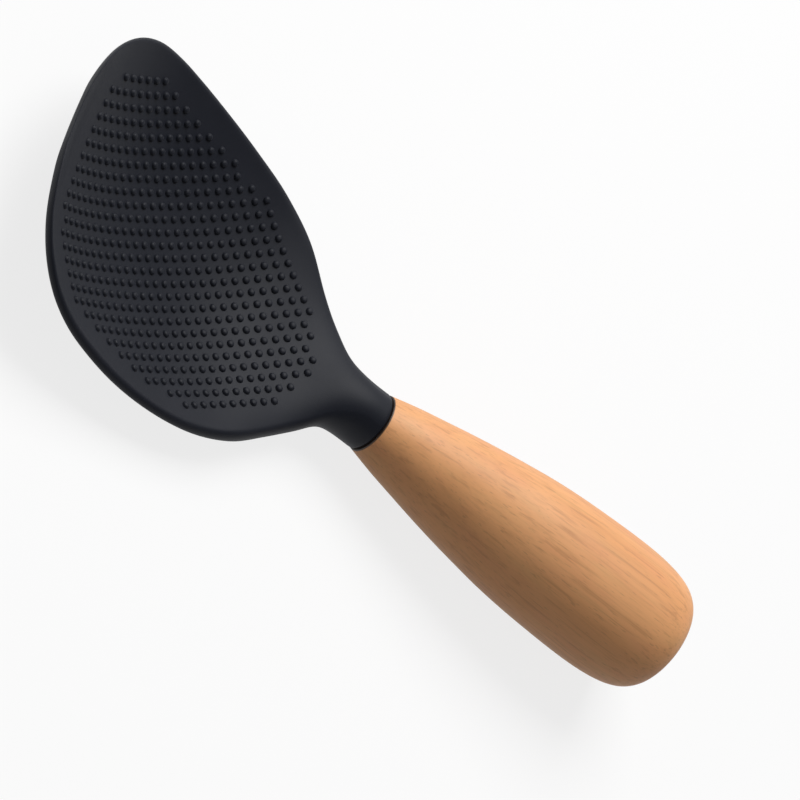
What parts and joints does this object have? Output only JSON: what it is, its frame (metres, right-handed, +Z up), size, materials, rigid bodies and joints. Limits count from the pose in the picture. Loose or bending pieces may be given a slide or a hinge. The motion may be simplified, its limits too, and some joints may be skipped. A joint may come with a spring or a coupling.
{
  "type": "rice paddle",
  "caption": "Rice paddle with a hollow, bumpy dark scoop-shaped blade, a round neck and a turned wooden handle that swells towards the butt.",
  "frame": {"origin": "middle of the footprint, on the table the paddle lies on with its hollow side up", "axes": "+X along the paddle towards the blade's tip, +Y across the blade, +Z up; the XZ plane is the mirror plane"},
  "size_m": [0.2122, 0.0802, 0.0355],
  "materials": {
    "skin": "matte moulded, soft sheen",
    "core": "moulded",
    "handle": "oiled beech, satin",
    "glue": "cured glue"
  },
  "bodies": {
    "root": {"skin": "skin", "core": "core", "handle": "handle", "glue": "glue"}
  },
  "joints": []
}
